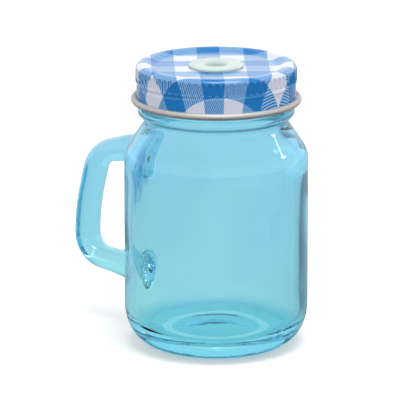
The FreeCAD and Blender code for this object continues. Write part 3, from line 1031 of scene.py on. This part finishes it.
silicone = silicone_painted_glow()
straw_ring = turned_ring("straw_ring", grommet_outline(), 192, silicone)
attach(straw_ring, "lid")
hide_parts("straw_grommet")

# %% [markdown]
# ## The liner
#
# The sealing compound is run into the lid as a liquid and stays as a soft matt ring. A ring turned like
# the others would add nothing to the frame's own one, which is plain and hidden under the lid, so that
# one stays and only its finish is made.

# %% Liner
def compound():
    """Matt off-white sealing compound."""
    finish = Finish("sealing_compound", Roughness=0.7)
    speck = finish.noise(600.0, 3.0)
    finish.feed("Base Color", finish.mix(speck, (0.66, 0.64, 0.58, 1.0), (0.78, 0.77, 0.72, 1.0)))
    return finish.material


liner = frame["nodes"]["sealing_liner"]
liner.data.materials.clear()
liner.data.materials.append(compound())
print("liner: the frame's own ring, given its compound")

# %% [markdown]
# ## Camera
#
# A short lens close by would bulge the bowl and tilt its sides. So the camera stands well back with a
# long lens, a little above the jar, turned so that the handle is half behind the bowl.

# %% Camera
VIEW_TURN = math.radians(37.0)
VIEW_RISE = math.radians(15.0)
VIEW_DISTANCE = 1200.0
LENS = 335.6
SENSOR_MM = 36.0
AIM_HEIGHT = 0.475
AIM_LEFT_MM = 1.9
right = np.array([math.cos(VIEW_TURN), math.sin(VIEW_TURN), 0.0])
back = np.array([math.sin(VIEW_TURN) * math.cos(VIEW_RISE), -math.cos(VIEW_TURN) * math.cos(VIEW_RISE),
                 math.sin(VIEW_RISE)])
aim = np.array([0.0, 0.0, AIM_HEIGHT * LID_TOP_Z]) - AIM_LEFT_MM * right
camera_data = bpy.data.cameras.new("camera")
camera_data.lens = LENS
camera_data.sensor_width = SENSOR_MM
camera_data.clip_start = 0.05
camera = bpy.data.objects.new("camera", camera_data)
bpy.context.scene.collection.objects.link(camera)
camera.location = (aim + VIEW_DISTANCE * back) / MM
camera.rotation_euler = (0.5 * math.pi - VIEW_RISE, 0.0, VIEW_TURN)
bpy.context.scene.camera = camera
print(f"camera: {VIEW_DISTANCE:.0f} mm away, lens {LENS:.0f} mm")

# %% [markdown]
# ## Floor and light
#
# Glass shows best against a bright ground with cards standing just out of the picture, so that its edges
# draw a line: here a pale one on the left and a dark one on the right. Cards stood up in the scene would
# show in the lid too, so the floor plays their part, and only rays that came through glass see them. One
# that has been turned round inside the wall is one that looks sideways: the floor answers it with the
# cards' colours, or with deeper ones if it was turned more than once, and the surround with a pale sky.
# Rays mirrored off the front see the dim room in front of the table. Near the foot all of them meet the
# blue light that the jar throws on the table. The camera itself only ever sees a plain white floor with
# its own soft shadows.

# %% Stage
FLOOR_LIGHT = 0.30
WHITE = (1.0, 1.0, 1.0, 1.0)
SOFT = (0.62, 0.62, 0.66, 1.0)
ROOM = (0.20, 0.20, 0.22, 1.0)
ROOM_BACK = (0.60, 0.62, 0.66, 1.0)
CARD_LEFT = (0.95, 1.0, 1.0, 1.0)
CARD_RIGHT = (0.24, 0.30, 0.38, 1.0)
DEEP_LEFT = (0.62, 0.85, 0.95, 1.0)
DEEP_RIGHT = (0.12, 0.32, 0.46, 1.0)
UNDER = (0.45, 0.79, 0.87, 1.0)
NEAR = (0.12, 0.56, 0.80, 1.0)
CARDS_MEET = (-0.01, 0.09)
ROOM_DEPTH = (-0.05, 0.25)
UNDER_REACH = (0.022, 0.045)
NEAR_REACH = (0.020, 0.032)


def light_path(tree, name):
    """One of the facts about the ray that asks."""
    return tree.node("ShaderNodeLightPath", output=name)


def table_colour(tree):
    """What the table looks like to every ray but the camera's own; places are in metres."""
    place = tree.place()
    x = tree.part(place, 0)
    y = tree.part(place, 1)
    side = x * math.cos(VIEW_TURN) + y * math.sin(VIEW_TURN)
    away = y * math.cos(VIEW_TURN) - x * math.sin(VIEW_TURN)
    radius = (x * x + y * y).math("SQRT")
    rightwards = side.step(*CARDS_MEET)
    cards = tree.mix(rightwards, CARD_LEFT, CARD_RIGHT)
    deep = tree.mix(rightwards, DEEP_LEFT, DEEP_RIGHT)
    turned = light_path(tree, "Glossy Depth")
    inside = tree.mix(turned.clamp(), WHITE, cards)
    inside = tree.mix((turned - 1.0).clamp(), inside, deep)
    inside = tree.mix(radius.step(*UNDER_REACH), UNDER, inside)
    room = tree.mix(away.step(*ROOM_DEPTH), ROOM, ROOM_BACK)
    outside = tree.mix(light_path(tree, "Is Glossy Ray"), SOFT, room)
    outside = tree.mix(radius.step(*NEAR_REACH), NEAR, outside)
    return tree.mix(light_path(tree, "Is Transmission Ray"), outside, inside)


def flat_floor(half_mm):
    """A square floor on the plane that the jar stands on."""
    corners = np.array([(-1, -1, 0), (1, -1, 0), (1, 1, 0), (-1, 1, 0)]) * float(half_mm)
    finish = Finish("white_floor", Roughness=0.9, Specular_IOR_Level=0.0, Emission_Strength=FLOOR_LIGHT)
    cloud = finish.noise(3.0)
    finish.feed("Base Color", finish.mix(cloud, (0.78, 0.78, 0.78, 1.0), (0.80, 0.80, 0.80, 1.0)))
    finish.feed("Emission Color", WHITE)
    glow = finish.node("ShaderNodeEmission", {}, {"Color": table_colour(finish), "Strength": 1.0})
    plain = Value(finish, finish.shader.outputs[0])
    seen = light_path(finish, "Is Camera Ray")
    surface = finish.node("ShaderNodeMixShader", {}, {0: seen, 1: glow, 2: plain})
    finish.set(finish.nodes["Material Output"], "Surface", surface)
    mesh = bpy.data.meshes.new("floor")
    mesh.from_pydata((corners / MM).tolist(), [], [(0, 1, 2, 3)])
    mesh.materials.append(finish.material)
    floor = bpy.data.objects.new("floor", mesh)
    bpy.context.scene.collection.objects.link(floor)
    return floor


flat_floor(half_mm=4000.0)
print("stage: a white floor that answers the glass with cards")

# %% [markdown]
# ## Surround and soft boxes
#
# Shadows in a white tent are soft and pale, so the surround gives most of the light. A small box far
# round to the side adds a highlight, and a large one overhead lights the printed panel. Light crosses
# many skins in a jar with a handle, so the bounce limits are raised.

# %% Surround and lights
SKY = (0.62, 0.90, 1.0, 1.0)
HORIZON = 1.15
OVERHEAD = 0.65
STAND_BACK_MM = 900.0


def surround():
    """A white surround, brightest towards the horizon, and a pale sky to rays turned inside the glass."""
    world = bpy.data.worlds.new("studio")
    bpy.context.scene.world = world
    world.use_nodes = True
    tree = Tree(world.node_tree)
    height = tree.part(tree.node("ShaderNodeTexCoord", output="Generated"), 2)
    light = tree.blend(height.step(0.35, 0.8), HORIZON, OVERHEAD)
    turned = light_path(tree, "Glossy Depth").clamp() * light_path(tree, "Is Transmission Ray")
    tree.set(tree.nodes["Background"], "Color", tree.mix(turned, WHITE, SKY))
    tree.set(tree.nodes["Background"], "Strength", light)


def soft_box(name, turn_deg, rise_deg, size_mm, power):
    """An area light that looks at the middle of the jar from a direction given in the camera's own turn."""
    data = bpy.data.lights.new(name, "AREA")
    data.shape = "RECTANGLE"
    data.size, data.size_y = (side / MM for side in size_mm)
    data.energy = power
    light = bpy.data.objects.new(name, data)
    bpy.context.scene.collection.objects.link(light)
    turn = VIEW_TURN + math.radians(turn_deg)
    rise = math.radians(rise_deg)
    way = np.array([math.sin(turn) * math.cos(rise), -math.cos(turn) * math.cos(rise), math.sin(rise)])
    light.location = (np.array([0.0, 0.0, 0.5 * LID_TOP_Z]) + way * STAND_BACK_MM) / MM
    light.rotation_euler = (0.5 * math.pi - rise, 0.0, turn)
    return light


surround()
soft_box("side_box", turn_deg=104.0, rise_deg=29.0, size_mm=(60.0, 45.0), power=0.08)
soft_box("overhead_box", turn_deg=20.0, rise_deg=75.0, size_mm=(500.0, 500.0), power=5.0)
scene_paths = bpy.context.scene.cycles
scene_paths.max_bounces = 32
scene_paths.glossy_bounces = 24
scene_paths.transmission_bounces = 32
bpy.context.scene.view_settings.view_transform = "Standard"
print("light: a surround and two soft boxes")
